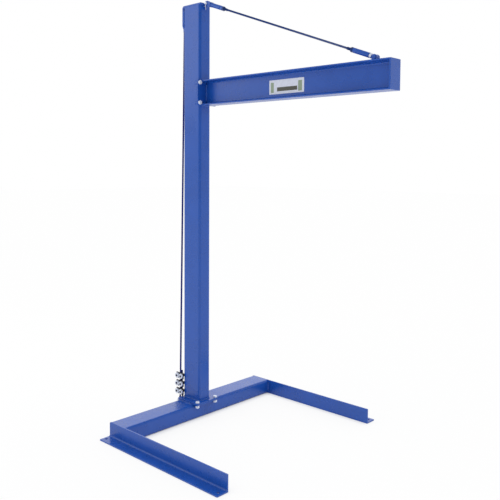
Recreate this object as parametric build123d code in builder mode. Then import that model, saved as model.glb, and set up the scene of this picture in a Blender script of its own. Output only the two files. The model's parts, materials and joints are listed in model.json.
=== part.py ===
from build123d import *
import math
import os

# Cantilever jib crane: a U-shaped floor base, a tube column, an I-beam boom bolted to it,
# a screw tie above the boom and a wire rope stay down the column's back.
# Millimetres. The origin is on the floor under the column, +X runs along the boom, +Z is up.
# Left and right are as seen from the boom's tip, looking back at the column.

os.makedirs("parts", exist_ok=True)

# Base on the floor
CROSS_DEPTH = 127.0
CROSS_HEIGHT = 76.2
CROSS_WALL = 6.35
CROSS_CORNER = 12.7
BASE_SPREAD = 1028.7
ANGLE_HEIGHT = 76.2
ANGLE_REACH = 63.5
ANGLE_WALL = 6.35
ANGLE_ROOT = 7.9
ANGLE_TOE = 3.0
LEG_CORNER = 8.0
LEG_LENGTH = 813.0
FLOOR_HOLE_DIA = 14.3
FLOOR_HOLE_FROM_END = 18.5
FLOOR_HOLE_FROM_UPRIGHT = 33.0

# Bolted plates
PLATE_WALL = 6.35
PLATE_CORNER = 2.0
EDGE_EASE = 0.8
FOOT_PLATE_LENGTH = 152.4
FOOT_PLATE_WIDTH = 152.4
SEAT_WIDTH = 127.0
SEAT_HEIGHT = 127.0
BOLT_EDGE = 12.7

# Half-inch bolts
BOLT_DIA = 12.7
BOLT_HOLE_DIA = 13.5
HEX_ACROSS = 19.0
HEAD_HEIGHT = 8.1
NUT_HEIGHT = 11.1
WASHER_DIA = 21.6
WASHER_WALL = 2.4
BOLT_TAIL = 2.5
HEX_CHAMFER = 0.8
FACE_MATCH = 0.1

# Column
COLUMN_DEPTH = 127.0
COLUMN_WIDTH = 76.2
COLUMN_WALL = 6.35
COLUMN_CORNER = 12.7
COLUMN_TOP = 2149.5

# Boom
BEAM_DEPTH = 127.0
BEAM_FLANGE = 76.2
BEAM_WEB = 5.44
FLANGE_EDGE = 5.3
FLANGE_ROOT = 11.2
BEAM_ROOT = 7.9
BEAM_TOE = 2.6
BEAM_EDGE = 1.2
BOOM_UNDERSIDE = 1638.75
BOOM_REACH = 1185.5
LABEL_LENGTH = 209.0
LABEL_HEIGHT = 66.0
LABEL_WALL = 0.8
LABEL_START = 509.0
LABEL_BELOW_AXIS = 5.0
LABEL_CORNER = 3.0

# Strap over the column's top
STRAP_WALL = 9.5
STRAP_WIDTH = 76.2
STRAP_BEND = 14.0
STRAP_FRONT = 4.0
STRAP_TAIL = 90.5
STRAP_TAPER = 38.0
STRAP_TIP_WIDTH = 40.0

# Tie
LUG_WALL = 9.5
LUG_NOSE = 14.0
LUG_DROP = 26.0
PIN_DIA = 12.7
PIN_PLAY = 0.15
PIN_HEAD_DIA = 19.0
PIN_HEAD_HEIGHT = 4.5
PIN_TAIL = 9.0
PIN_CHAMFER = 1.2
UPPER_PIN_FORWARD = 18.0
UPPER_PIN_RISE = 6.2
LOWER_PIN_FROM_TIP = 95.0
LOWER_PIN_RISE = 13.5
EAR_WALL = 6.35
EAR_NOSE = 12.0
EYE_WIDTH = 14.0
EYE_RADIUS = 11.5
FORK_RADIUS = 12.25
FORK_TINE = 6.5
FORK_YOKE_START = 17.0
FORK_YOKE_END = 29.0
FORK_PLAY = 0.3
ROD_DIA = 9.5
THREAD_DIA = 12.7
SLEEVE_DIA = 22.0
SLEEVE_LENGTH = 71.0
SLEEVE_PLAY = 0.1
SLEEVE_CHAMFER = 1.5
SLEEVE_END = 17.0
UPPER_SLEEVE_START = 30.0
LOWER_SLEEVE_START = 30.0
THREAD_IN_SLEEVE = 28.0
ROD_THREAD_OUT = 50.0
JAM_NUT_HEIGHT = 11.1
JAM_NUT_GAP = 1.0
LOCK_NUT_GAP = 1.0
COTTER_DIA = 2.0
COTTER_PLAY = 0.3
COTTER_SPLIT = 0.12
COTTER_NECK = 0.3
COTTER_SHOULDER = 2.0
COTTER_CROWN = 4.2
COTTER_RING = 5.8
COTTER_BEND = 1.4
COTTER_LEG = 26.5
LOWER_COTTER_LEG = 5.0
COTTER_BENT_AT = 9.0
COTTER_BENT_REACH = 10.0

# Rope stay
ROPE_DIA = 9.5
ROPE_PAIR = 10.5
ANCHOR_HEIGHT = 52.0
ANCHOR_DIA = 15.9
ANCHOR_PLAY = 0.3
ANCHOR_HEX = 23.8
ANCHOR_NUT_HEIGHT = 13.9
ANCHOR_WASHER_DIA = 33.3
ANCHOR_WASHER_WALL = 3.0
ANCHOR_STANDOFF = 15.5
ANCHOR_HUB_DIA = 24.0
LOOP_RADIUS = 18.0
THIMBLE_RIM = 1.0
GROOVE_FLANGE = 1.4
GROOVE_PLAY = 0.25
CROTCH_HEIGHT = 88.0
CROTCH_RADIUS = 50.0
ROPE_END_HEIGHT = 222.0
KNEE_HEIGHT = 232.0
KNEE_RADIUS = 800.0
SPOOL_RADIUS = 14.5
SPOOL_FLANGE_DIA = 36.0
SPOOL_STANDOFF = 2.0
SPOOL_HUB_DIA = 26.0
SPOOL_DROP = 109.5
CLIP_FIRST = 111.0
CLIP_PITCH = 42.5
CLIP_COUNT = 3
CLIP_WIRE = 11.1
CLIP_PLAY = 0.2
CLIP_COLUMN_GAP = 1.35
SADDLE_LENGTH = 56.0
SADDLE_HEIGHT = 32.0
SADDLE_WALL = 7.0
SADDLE_CORNER = 3.0
CLIP_HEX = 25.4
CLIP_NUT_SPACE = 4.6
CLIP_NUT_HEIGHT = 9.5
CLIP_TAIL = 2.0

# The rope's corners round a thimble and over the spool, as shares of their radius, and how
# much of that radius the bends there keep
LOOP_SIDE_OUT = 1.15
LOOP_SIDE_DOWN = 0.2
LOOP_BASE_OUT = 0.5
SPOOL_SIDE_UP = 0.43
SPOOL_CROWN_OUT = 0.41
LOOP_BEND = 0.93
SPOOL_BEND = 0.97

SIDES = (-1, 1)


def save(part, name):
    part.label = name
    export_step(part, f"parts/{name}.step")


def hex_heads(planes, across, height, hole=0.0):
    # Hexagonal heads or nuts standing on the given planes, with their outer edges eased.
    with BuildPart() as heads:
        with BuildSketch(*planes):
            RegularPolygon(across / 2, 6, major_radius=False, rotation=30)
            if hole:
                Circle(hole / 2, mode=Mode.SUBTRACT)
        extrude(amount=height)
        tops = [plane.from_local_coords((0, 0, height)) for plane in planes]
        rims = []
        for face in heads.faces():
            if min((face.center(CenterOf.BOUNDING_BOX) - top).length for top in tops) < FACE_MATCH:
                rims.extend(face.outer_wire().edges())
        chamfer(rims, HEX_CHAMFER)
    return heads.part


def hex_bolts(planes, grip):
    # Bolts whose heads stand on the planes and whose shanks run back through the joint.
    with BuildPart() as bolts:
        add(hex_heads(planes, HEX_ACROSS, HEAD_HEIGHT))
        with BuildSketch(*planes):
            Circle(BOLT_DIA / 2)
        extrude(amount=-grip)
    return bolts.part


def ease_rims(plate, axis):
    # Eases the outer edges of a plate's two faces square to the axis.
    for face in (plate.faces().sort_by(axis)[0], plate.faces().sort_by(axis)[-1]):
        chamfer(face.outer_wire().edges(), EDGE_EASE)


def rings(planes, outer, inner, height):
    with BuildPart() as ring:
        with BuildSketch(*planes):
            Circle(outer / 2)
            Circle(inner / 2, mode=Mode.SUBTRACT)
        extrude(amount=height)
    return ring.part


# Base: cross tube and two angle legs, their back ends flush

upright_outer = BASE_SPREAD / 2
upright_inner = upright_outer - ANGLE_WALL
leg_rear = -CROSS_DEPTH / 2

with BuildPart() as cross_tube:
    with BuildSketch(Plane.XZ):
        with Locations((0, CROSS_HEIGHT / 2)):
            RectangleRounded(CROSS_DEPTH, CROSS_HEIGHT, CROSS_CORNER)
            RectangleRounded(
                CROSS_DEPTH - 2 * CROSS_WALL,
                CROSS_HEIGHT - 2 * CROSS_WALL,
                CROSS_CORNER - CROSS_WALL,
                mode=Mode.SUBTRACT,
            )
    extrude(amount=upright_inner, both=True)
save(cross_tube.part, "cross_tube")

floor_hole_xs = (
    leg_rear + FLOOR_HOLE_FROM_END,
    leg_rear + LEG_LENGTH - FLOOR_HOLE_FROM_END,
)

for side, name in zip(SIDES, ("left_leg", "right_leg")):
    with BuildPart() as angle_leg:
        with BuildSketch(Plane.YZ.offset(leg_rear)) as angle_profile:
            with BuildLine():
                Polyline(
                    (side * upright_inner, 0),
                    (side * (upright_inner + ANGLE_REACH), 0),
                    (side * (upright_inner + ANGLE_REACH), ANGLE_WALL),
                    (side * upright_outer, ANGLE_WALL),
                    (side * upright_outer, ANGLE_HEIGHT),
                    (side * upright_inner, ANGLE_HEIGHT),
                    close=True,
                )
            make_face()
            corners = angle_profile.vertices()
            root = corners.sort_by_distance((side * upright_outer, ANGLE_WALL))[0]
            toe_out = corners.sort_by_distance((side * (upright_inner + ANGLE_REACH), ANGLE_WALL))[0]
            toe_up = corners.sort_by_distance((side * upright_outer, ANGLE_HEIGHT))[0]
            fillet(root, ANGLE_ROOT)
            fillet([toe_out, toe_up], ANGLE_TOE)
        extrude(amount=LEG_LENGTH)
        with BuildSketch(Plane.XZ):
            with Locations((leg_rear + LEG_CORNER / 2, ANGLE_HEIGHT - LEG_CORNER / 2)):
                Rectangle(LEG_CORNER, LEG_CORNER)
            with Locations((leg_rear + LEG_CORNER, ANGLE_HEIGHT - LEG_CORNER)):
                Circle(LEG_CORNER, mode=Mode.SUBTRACT)
        extrude(amount=upright_outer + ANGLE_WALL, both=True, mode=Mode.SUBTRACT)
        with BuildSketch(Plane.XY):
            with Locations(*[(x, side * (upright_outer + FLOOR_HOLE_FROM_UPRIGHT)) for x in floor_hole_xs]):
                Circle(FLOOR_HOLE_DIA / 2)
        extrude(amount=ANGLE_WALL, mode=Mode.SUBTRACT)
    save(angle_leg.part, name)

# Foot plates: one on the cross tube, one under the column, flush at the back

foot_plate_x = leg_rear + FOOT_PLATE_LENGTH / 2
foot_bolt_x = leg_rear + FOOT_PLATE_LENGTH - BOLT_EDGE
foot_bolt_y = FOOT_PLATE_WIDTH / 2 - BOLT_EDGE
column_foot = CROSS_HEIGHT + 2 * PLATE_WALL

for level, name in enumerate(("cross_tube_plate", "column_base_plate")):
    with BuildPart() as foot_plate:
        with BuildSketch(Plane.XY.offset(CROSS_HEIGHT + level * PLATE_WALL)):
            with Locations((foot_plate_x, 0)):
                RectangleRounded(FOOT_PLATE_LENGTH, FOOT_PLATE_WIDTH, PLATE_CORNER)
            with Locations(*[(foot_bolt_x, side * foot_bolt_y) for side in SIDES]):
                Circle(BOLT_HOLE_DIA / 2, mode=Mode.SUBTRACT)
        extrude(amount=PLATE_WALL)
        ease_rims(foot_plate, Axis.Z)
    save(foot_plate.part, name)

foot_head_planes = [Plane((foot_bolt_x, side * foot_bolt_y, column_foot)) for side in SIDES]
foot_washer_planes = [
    Plane((foot_bolt_x, side * foot_bolt_y, CROSS_HEIGHT), z_dir=(0, 0, -1)) for side in SIDES
]
foot_nut_planes = [plane.offset(WASHER_WALL) for plane in foot_washer_planes]
joint_grip = 2 * PLATE_WALL + WASHER_WALL + NUT_HEIGHT + BOLT_TAIL

save(hex_bolts(foot_head_planes, joint_grip), "base_bolts")
save(rings(foot_washer_planes, WASHER_DIA, BOLT_HOLE_DIA, WASHER_WALL), "base_washers")
save(hex_heads(foot_nut_planes, HEX_ACROSS, NUT_HEIGHT, BOLT_DIA), "base_nuts")

# Column

column_front = COLUMN_DEPTH / 2

with BuildPart() as column:
    with BuildSketch(Plane.XY.offset(column_foot)):
        RectangleRounded(COLUMN_DEPTH, COLUMN_WIDTH, COLUMN_CORNER)
        RectangleRounded(
            COLUMN_DEPTH - 2 * COLUMN_WALL,
            COLUMN_WIDTH - 2 * COLUMN_WALL,
            COLUMN_CORNER - COLUMN_WALL,
            mode=Mode.SUBTRACT,
        )
    extrude(amount=COLUMN_TOP - column_foot)
save(column.part, "column")

# Boom joint: seat plate on the column, end plate on the beam

boom_axis = BOOM_UNDERSIDE + BEAM_DEPTH / 2
seat_bolt_y = SEAT_WIDTH / 2 - BOLT_EDGE
seat_bolt_z = SEAT_HEIGHT / 2 - BOLT_EDGE
seat_bolt_places = [
    (y, boom_axis + z) for y in (-seat_bolt_y, seat_bolt_y) for z in (-seat_bolt_z, seat_bolt_z)
]

for level, name in enumerate(("boom_seat_plate", "boom_end_plate")):
    with BuildPart() as joint_plate:
        with BuildSketch(Plane.YZ.offset(column_front + level * PLATE_WALL)):
            with Locations((0, boom_axis)):
                RectangleRounded(SEAT_WIDTH, SEAT_HEIGHT, PLATE_CORNER)
            with Locations(*seat_bolt_places):
                Circle(BOLT_HOLE_DIA / 2, mode=Mode.SUBTRACT)
        extrude(amount=PLATE_WALL)
        ease_rims(joint_plate, Axis.X)
    save(joint_plate.part, name)

boom_start = column_front + 2 * PLATE_WALL
boom_head_planes = [
    Plane((boom_start, y, z), x_dir=(0, 1, 0), z_dir=(1, 0, 0)) for y, z in seat_bolt_places
]
boom_washer_planes = [
    Plane((column_front, y, z), x_dir=(0, 1, 0), z_dir=(-1, 0, 0)) for y, z in seat_bolt_places
]
boom_nut_planes = [plane.offset(WASHER_WALL) for plane in boom_washer_planes]

save(hex_bolts(boom_head_planes, joint_grip), "boom_bolts")
save(rings(boom_washer_planes, WASHER_DIA, BOLT_HOLE_DIA, WASHER_WALL), "boom_washers")
save(hex_heads(boom_nut_planes, HEX_ACROSS, NUT_HEIGHT, BOLT_DIA), "boom_nuts")

# Boom beam with tapered flanges, closed by a plate at its tip

boom_end = BOOM_REACH - PLATE_WALL
half_depth = BEAM_DEPTH / 2
half_flange = BEAM_FLANGE / 2
half_web = BEAM_WEB / 2

beam_end = Plane((boom_start, 0, boom_axis), x_dir=(0, 1, 0), z_dir=(1, 0, 0))

with BuildPart() as boom_beam:
    with BuildSketch(beam_end) as beam_profile:
        with BuildLine():
            Polyline(
                (0, 0),
                (half_web, 0),
                (half_web, half_depth - FLANGE_ROOT),
                (half_flange, half_depth - FLANGE_EDGE),
                (half_flange, half_depth),
                (0, half_depth),
                close=True,
            )
        make_face()
        corners = beam_profile.vertices()
        beam_root = corners.sort_by_distance((half_web, half_depth - FLANGE_ROOT))[0]
        beam_toe = corners.sort_by_distance((half_flange, half_depth - FLANGE_EDGE))[0]
        fillet(beam_root, BEAM_ROOT)
        beam_edge = corners.sort_by_distance((half_flange, half_depth))[0]
        fillet(beam_toe, BEAM_TOE)
        fillet(beam_edge, BEAM_EDGE)
        mirror(about=Plane.YZ)
        mirror(about=Plane.XZ)
    extrude(amount=boom_end - boom_start)
save(boom_beam.part, "boom_beam")

with BuildPart() as boom_tip_plate:
    with BuildSketch(Plane.YZ.offset(boom_end)):
        with Locations((0, boom_axis)):
            RectangleRounded(BEAM_FLANGE, BEAM_DEPTH, PLATE_CORNER)
    extrude(amount=PLATE_WALL)
    chamfer(boom_tip_plate.faces().sort_by(Axis.X)[-1].outer_wire().edges(), EDGE_EASE)
save(boom_tip_plate.part, "boom_tip_plate")

with BuildPart() as label_plate:
    with BuildSketch(Plane.XZ.offset(half_web)):
        with Locations((LABEL_START + LABEL_LENGTH / 2, boom_axis - LABEL_BELOW_AXIS)):
            RectangleRounded(LABEL_LENGTH, LABEL_HEIGHT, LABEL_CORNER)
    extrude(amount=LABEL_WALL)
save(label_plate.part, "label_plate")

# Strap: bent tight over the column's top and down its back, its tail narrowing at the end

column_rear = -COLUMN_DEPTH / 2
strap_rear = column_rear - STRAP_WALL
strap_top = COLUMN_TOP + STRAP_WALL
strap_front = column_front + STRAP_FRONT
tail_end = COLUMN_TOP - STRAP_TAIL - STRAP_TAPER

with BuildPart() as top_strap:
    with BuildSketch(Plane.XZ) as strap_profile:
        with BuildLine():
            Polyline(
                (strap_front, COLUMN_TOP),
                (column_rear, COLUMN_TOP),
                (column_rear, tail_end),
                (strap_rear, tail_end),
                (strap_rear, strap_top),
                (strap_front, strap_top),
                close=True,
            )
        make_face()
        fillet(strap_profile.vertices().sort_by_distance((strap_rear, strap_top))[0], STRAP_BEND)
    extrude(amount=STRAP_WIDTH / 2, both=True)
    ease_rims(top_strap, Axis.Y)
    with BuildSketch(Plane.YZ.offset(column_rear)):
        for side in SIDES:
            with BuildLine():
                Polyline(
                    (side * STRAP_WIDTH / 2, tail_end + STRAP_TAPER),
                    (side * STRAP_WIDTH / 2, tail_end),
                    (side * STRAP_TIP_WIDTH / 2, tail_end),
                    close=True,
                )
            make_face()
    extrude(amount=-STRAP_WALL, mode=Mode.SUBTRACT)
save(top_strap.part, "top_strap")

# Tie: everything lies in the plane of the boom's web, from the upper pin to the lower pin

upper_pin_x = column_front + UPPER_PIN_FORWARD
upper_pin_z = COLUMN_TOP + UPPER_PIN_RISE
boom_top = BOOM_UNDERSIDE + BEAM_DEPTH
lower_pin_x = BOOM_REACH - LOWER_PIN_FROM_TIP
lower_pin_z = boom_top + LOWER_PIN_RISE
tie_start = Vector(upper_pin_x, 0, upper_pin_z)
tie_end = Vector(lower_pin_x, 0, lower_pin_z)
tie_length = (tie_end - tie_start).length
tie_way = (tie_end - tie_start).normalized()
pin_hole = PIN_DIA / 2 + PIN_PLAY


def along_tie(distance, sense=1):
    return Plane(tie_start + tie_way * distance, x_dir=(0, 1, 0), z_dir=tie_way * sense)


def side_plane(y):
    return Plane((0, y, 0), x_dir=(1, 0, 0), z_dir=(0, -1, 0))


with BuildPart() as strap_lug:
    with BuildSketch(Plane.XZ):
        with BuildLine():
            Polyline(
                (column_front, COLUMN_TOP - LUG_DROP),
                (column_front, COLUMN_TOP),
                (strap_front, COLUMN_TOP),
                (strap_front, strap_top),
                (upper_pin_x, upper_pin_z + LUG_NOSE),
                (upper_pin_x, upper_pin_z - LUG_NOSE),
                close=True,
            )
        make_face()
        with Locations((upper_pin_x, upper_pin_z)):
            Circle(LUG_NOSE)
            Circle(pin_hole, mode=Mode.SUBTRACT)
        with BuildLine():
            Polyline(
                (column_rear, COLUMN_TOP),
                (strap_front, COLUMN_TOP),
                (strap_front, strap_top),
                (column_rear, strap_top),
                close=True,
            )
        make_face(mode=Mode.SUBTRACT)
    extrude(amount=LUG_WALL / 2, both=True)
    ease_rims(strap_lug, Axis.Y)
save(strap_lug.part, "strap_lug")

fork_inner = LUG_WALL / 2 + FORK_PLAY
fork_outer = fork_inner + FORK_TINE

with BuildPart() as upper_fork:
    with BuildSketch(Plane(tie_start, x_dir=tie_way, z_dir=(0, -1, 0))):
        with Locations((FORK_YOKE_END / 2, 0)):
            Rectangle(FORK_YOKE_END, 2 * FORK_RADIUS)
        Circle(FORK_RADIUS)
        Circle(pin_hole, mode=Mode.SUBTRACT)
    extrude(amount=fork_outer, both=True)
    with BuildSketch(Plane(tie_start, x_dir=tie_way, z_dir=(0, -1, 0))):
        with Locations(((FORK_YOKE_START - 2 * FORK_RADIUS) / 2, 0)):
            Rectangle(FORK_YOKE_START + 2 * FORK_RADIUS, 3 * FORK_RADIUS)
    extrude(amount=fork_inner, both=True, mode=Mode.SUBTRACT)
    with BuildSketch(along_tie(FORK_YOKE_END)):
        Circle(THREAD_DIA / 2)
    extrude(amount=UPPER_SLEEVE_START - FORK_YOKE_END + THREAD_IN_SLEEVE)
save(upper_fork.part, "upper_fork")

upper_sleeve_end = UPPER_SLEEVE_START + SLEEVE_LENGTH
lower_sleeve_end = tie_length - LOWER_SLEEVE_START
lower_sleeve_start = lower_sleeve_end - SLEEVE_LENGTH

# Each sleeve is a round tube with a hexagonal end towards the rod
for start, end, sense, name in (
    (UPPER_SLEEVE_START, upper_sleeve_end, 1, "upper_sleeve"),
    (lower_sleeve_end, lower_sleeve_start, -1, "lower_sleeve"),
):
    with BuildPart() as sleeve:
        with BuildSketch(along_tie(start, sense)):
            Circle(SLEEVE_DIA / 2)
        extrude(amount=SLEEVE_LENGTH)
        rims = sleeve.edges().filter_by(GeomType.CIRCLE)
        chamfer(rims.sort_by_distance(along_tie(start).origin)[0], SLEEVE_CHAMFER)
        add(hex_heads([along_tie(end, sense)], HEX_ACROSS, SLEEVE_END))
        with BuildSketch(along_tie(start, sense)):
            Circle(THREAD_DIA / 2 + SLEEVE_PLAY)
        extrude(amount=SLEEVE_LENGTH + SLEEVE_END, mode=Mode.SUBTRACT)
    save(sleeve.part, name)

rod_start = upper_sleeve_end - THREAD_IN_SLEEVE
rod_end = lower_sleeve_start + THREAD_IN_SLEEVE
thread_run = THREAD_IN_SLEEVE + ROD_THREAD_OUT

with BuildPart() as tie_rod:
    with BuildSketch(along_tie(rod_start)):
        Circle(THREAD_DIA / 2)
    extrude(amount=thread_run)
    with BuildSketch(along_tie(rod_start)):
        Circle(ROD_DIA / 2)
    extrude(amount=rod_end - rod_start)
    with BuildSketch(along_tie(rod_end - thread_run)):
        Circle(THREAD_DIA / 2)
    extrude(amount=thread_run)
save(tie_rod.part, "tie_rod")

jam_gap = SLEEVE_END + JAM_NUT_GAP
upper_jam = along_tie(upper_sleeve_end + jam_gap)
lower_jam = along_tie(lower_sleeve_start - jam_gap - JAM_NUT_HEIGHT)
lock_nut = along_tie(lower_sleeve_end + LOCK_NUT_GAP)
save(hex_heads([upper_jam], HEX_ACROSS, JAM_NUT_HEIGHT, THREAD_DIA), "upper_jam_nut")
save(hex_heads([lower_jam], HEX_ACROSS, JAM_NUT_HEIGHT, THREAD_DIA), "lower_jam_nut")
save(hex_heads([lock_nut], HEX_ACROSS, JAM_NUT_HEIGHT, THREAD_DIA), "lower_lock_nut")

with BuildPart() as lower_eye:
    with BuildSketch(along_tie(lower_sleeve_end - THREAD_IN_SLEEVE)):
        Circle(THREAD_DIA / 2)
    extrude(amount=LOWER_SLEEVE_START + THREAD_IN_SLEEVE - (pin_hole + EYE_RADIUS) / 2)
    with BuildSketch(Plane.XZ):
        with Locations((lower_pin_x, lower_pin_z)):
            Circle(EYE_RADIUS)
    extrude(amount=EYE_WIDTH / 2, both=True)
    with BuildSketch(Plane.XZ):
        with Locations((lower_pin_x, lower_pin_z)):
            Circle(pin_hole)
    extrude(amount=EYE_WIDTH, both=True, mode=Mode.SUBTRACT)
save(lower_eye.part, "lower_eye")

ear_inner = EYE_WIDTH / 2 + FORK_PLAY
ear_outer = ear_inner + EAR_WALL

with BuildPart() as boom_lug:
    with BuildSketch(*[side_plane(y) for y in (-ear_inner, ear_outer)]):
        with Locations((lower_pin_x, (boom_top + lower_pin_z) / 2)):
            Rectangle(2 * EAR_NOSE, lower_pin_z - boom_top)
        with Locations((lower_pin_x, lower_pin_z)):
            Circle(EAR_NOSE)
            Circle(pin_hole, mode=Mode.SUBTRACT)
    extrude(amount=EAR_WALL)
    ease_rims(boom_lug, Axis.Y)
save(boom_lug.part, "boom_lug")


def clevis_pin(x, z, grip, tail_side):
    # A headed pin across the joint, with a cross hole for its cotter at the tail's side.
    with BuildPart() as pin:
        head = Plane((x, -tail_side * grip, z), x_dir=(1, 0, 0), z_dir=(0, -tail_side, 0))
        with BuildSketch(head):
            Circle(PIN_HEAD_DIA / 2)
        extrude(amount=PIN_HEAD_HEIGHT)
        with BuildSketch(head):
            Circle(PIN_DIA / 2)
        extrude(amount=-2 * grip - PIN_TAIL)
        chamfer(pin.edges().sort_by(Axis.Y)[0 if tail_side < 0 else -1], PIN_CHAMFER)
        with BuildSketch(Plane((x, tail_side * (grip + PIN_TAIL / 2), z))):
            Circle(COTTER_DIA + COTTER_PLAY)
        extrude(amount=PIN_DIA, both=True, mode=Mode.SUBTRACT)
    return pin.part


def cotter(x, z, y, leg):
    # Split pin: two wires down through the cross hole, a ring above, one end bent back below.
    gap = (COTTER_DIA + COTTER_SPLIT) / 2
    rim = z + PIN_DIA / 2
    under = z - PIN_DIA / 2
    half_ring = COTTER_RING / 2
    bent = min(COTTER_BENT_AT, leg / 2)
    with BuildPart() as split_pin:
        with BuildLine() as wire:
            FilletPolyline(
                (x + gap, y, under - leg),
                (x + gap, y, rim + COTTER_NECK),
                (x + half_ring, y, rim + COTTER_SHOULDER),
                (x + half_ring, y, rim + COTTER_CROWN),
                (x - half_ring, y, rim + COTTER_CROWN),
                (x - half_ring, y, rim + COTTER_SHOULDER),
                (x - gap, y, rim + COTTER_NECK),
                (x - gap, y, under - bent),
                (x - gap - COTTER_BENT_REACH, y, under - bent),
                radius=COTTER_BEND,
            )
        with BuildSketch(Plane(wire.line @ 0, z_dir=wire.line % 0)):
            Circle(COTTER_DIA / 2)
        sweep(path=wire.line)
    return split_pin.part


save(clevis_pin(upper_pin_x, upper_pin_z, fork_outer, -1), "upper_pin")
save(cotter(upper_pin_x, upper_pin_z, -fork_outer - PIN_TAIL / 2, COTTER_LEG), "upper_cotter")
save(clevis_pin(lower_pin_x, lower_pin_z, ear_outer, 1), "lower_pin")
save(cotter(lower_pin_x, lower_pin_z, ear_outer + PIN_TAIL / 2, LOWER_COTTER_LEG), "lower_cotter")

# Rope stay: over a spool on the strap's tail, down to a looped foot on each side

groove_half = ROPE_DIA / 2 + GROOVE_PLAY
spool_half = groove_half + GROOVE_FLANGE
foot_x = -CROSS_DEPTH / 2 - ANCHOR_STANDOFF - spool_half
top_x = strap_rear - SPOOL_STANDOFF - spool_half
spool_z = COLUMN_TOP - SPOOL_DROP

# Across the foot, going out from behind the column: the clip's bow, the cut end of the rope, its
# live part, then the saddle just clear of the column's side, and the nuts
half_span = (CLIP_HEX + CLIP_NUT_SPACE) / 2
bow_inner = half_span - CLIP_WIRE / 2
saddle_inner = COLUMN_WIDTH / 2 + CLIP_COLUMN_GAP
live_y = saddle_inner - CLIP_PLAY
dead_y = live_y - ROPE_PAIR
bow_y = dead_y + bow_inner - ROPE_DIA / 2 - CLIP_PLAY
anchor_y = (dead_y + live_y) / 2
saddle_outer = live_y + SADDLE_WALL
clip_end_y = saddle_outer + CLIP_NUT_HEIGHT + CLIP_TAIL

# Corners of the left half, chosen by hand: from the cut end down past the clips, round the
# thimble, up past the clips again and over the spool. The right half mirrors them.
loop_side_z = ANCHOR_HEIGHT - LOOP_SIDE_DOWN * LOOP_RADIUS
loop_base_z = ANCHOR_HEIGHT - LOOP_RADIUS
left_route = [
    (foot_x, -dead_y, ROPE_END_HEIGHT),
    (foot_x, -dead_y, CROTCH_HEIGHT),
    (foot_x, -anchor_y + LOOP_SIDE_OUT * LOOP_RADIUS, loop_side_z),
    (foot_x, -anchor_y + LOOP_BASE_OUT * LOOP_RADIUS, loop_base_z),
    (foot_x, -anchor_y - LOOP_BASE_OUT * LOOP_RADIUS, loop_base_z),
    (foot_x, -anchor_y - LOOP_SIDE_OUT * LOOP_RADIUS, loop_side_z),
    (foot_x, -live_y, CROTCH_HEIGHT),
    (foot_x, -live_y, KNEE_HEIGHT),
    (top_x, -SPOOL_RADIUS, spool_z + SPOOL_SIDE_UP * SPOOL_RADIUS),
    (top_x, -SPOOL_CROWN_OUT * SPOOL_RADIUS, spool_z + SPOOL_RADIUS),
]
round_thimble = LOOP_BEND * LOOP_RADIUS
over_spool = SPOOL_BEND * SPOOL_RADIUS
left_radii = [CROTCH_RADIUS] + [round_thimble] * 4 + [CROTCH_RADIUS, KNEE_RADIUS] + [over_spool] * 2
right_route = [(x, -y, z) for x, y, z in reversed(left_route)]
rope_points = left_route + right_route
rope_radii = left_radii + list(reversed(left_radii))

with BuildPart() as stay_rope:
    with BuildLine() as rope_line:
        FilletPolyline(*rope_points, radius=rope_radii)
    with BuildSketch(Plane(rope_line.line @ 0, z_dir=rope_line.line % 0)):
        Circle(ROPE_DIA / 2)
    sweep(path=rope_line.line)
save(stay_rope.part, "stay_rope")

rope_length = rope_line.wire().length
print("rope radii", [round(radius, 1) for radius in rope_radii])
print("rope length", round(rope_length, 1))
print("rope volume share", round(stay_rope.part.volume / (math.pi * ROPE_DIA**2 / 4 * rope_length), 4))
print("rope points", [tuple(round(value, 2) for value in point) for point in rope_points])


def grooved_wheel(centre, rope_radius, flange_radius, bore, hub_radius=0.0, hub_length=0.0):
    # A grooved ring on an axis along X, with an optional hub on its front side.
    bottom = rope_radius - ROPE_DIA / 2 - GROOVE_PLAY
    profile = [
        (-spool_half, bore),
        (spool_half, bore),
        (spool_half, flange_radius),
        (groove_half, flange_radius),
        (groove_half, bottom),
        (-groove_half, bottom),
        (-groove_half, flange_radius),
        (-spool_half, flange_radius),
    ]
    if hub_length:
        profile[1:2] = [
            (spool_half + hub_length, bore),
            (spool_half + hub_length, hub_radius),
            (spool_half, hub_radius),
        ]
    with BuildPart() as wheel:
        with BuildSketch(Plane(centre, x_dir=(1, 0, 0), z_dir=(0, -1, 0))):
            with BuildLine():
                Polyline(*profile, close=True)
            make_face()
        revolve(axis=Axis(centre, (1, 0, 0)))
    return wheel.part


rope_spool = grooved_wheel(
    (top_x, 0, spool_z),
    SPOOL_RADIUS,
    SPOOL_FLANGE_DIA / 2,
    BOLT_HOLE_DIA / 2,
    SPOOL_HUB_DIA / 2,
    SPOOL_STANDOFF,
)
save(rope_spool, "rope_spool")

spool_face = Plane((top_x - spool_half, 0, spool_z), x_dir=(0, 1, 0), z_dir=(-1, 0, 0))
strap_face = Plane((strap_rear, 0, spool_z), x_dir=(0, 1, 0), z_dir=(-1, 0, 0))
spool_reach = SPOOL_STANDOFF + 2 * spool_half + WASHER_WALL + NUT_HEIGHT + BOLT_TAIL

with BuildPart() as spool_stud:
    with BuildSketch(strap_face):
        Circle(BOLT_DIA / 2)
    extrude(amount=spool_reach)
save(spool_stud.part, "spool_stud")
save(rings([spool_face], WASHER_DIA, BOLT_HOLE_DIA, WASHER_WALL), "spool_washer")
save(hex_heads([spool_face.offset(WASHER_WALL)], HEX_ACROSS, NUT_HEIGHT, BOLT_DIA), "spool_nut")

anchor_places = [(side * anchor_y, ANCHOR_HEIGHT) for side in SIDES]
anchor_hole = ANCHOR_DIA / 2 + ANCHOR_PLAY

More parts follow.
